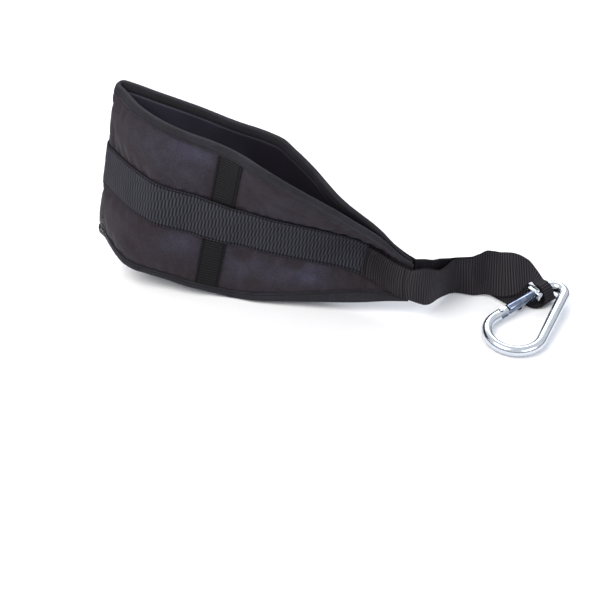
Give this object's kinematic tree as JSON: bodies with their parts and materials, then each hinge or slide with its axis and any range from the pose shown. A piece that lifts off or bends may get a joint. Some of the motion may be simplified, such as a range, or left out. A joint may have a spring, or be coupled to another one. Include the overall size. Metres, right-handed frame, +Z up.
{
  "type": "hanging ab strap",
  "caption": "Padded arm sleeve folded in two, ringed by wide webbing, with a webbing strap from its neck to a steel snap hook whose gate springs shut.",
  "frame": {"origin": "middle of the bounding box's bottom face, on the surface that the part lies on", "axes": "+X from the sleeve towards the hook, +Y from the near panel to the far panel, +Z up"},
  "size_m": [0.5258, 0.1992, 0.217],
  "materials": {
    "pad_cloth": "charcoal coated polyester cloth over foam",
    "lining_cloth": "smooth dark lining cloth",
    "webbing": "ribbed grey polypropylene webbing",
    "strip_tape": "narrow dark woven tape",
    "zinc_steel": "bright zinc-plated steel"
  },
  "bodies": {
    "sling": {"sleeve_pad": "pad_cloth", "sleeve_lining": "lining_cloth", "top_hem": "pad_cloth", "bottom_hem": "pad_cloth", "cross_strip_near": "strip_tape", "cross_strip_far": "strip_tape", "main_webbing": "webbing", "strap_loop": "webbing", "carabiner_body": "zinc_steel", "gate_rivet": "zinc_steel"},
    "gate": {"carabiner_gate": "zinc_steel"}
  },
  "joints": [
    {"name": "gate_hinge", "type": "hinge", "parent": "sling", "child": "gate", "pos_m": [0.18524, -0.03608, 0.00985], "axis": [0.0604, 0.0676, -0.9959], "range_deg": [0, 22], "stiffness_Nm_per_rad": 0.3}
  ]
}
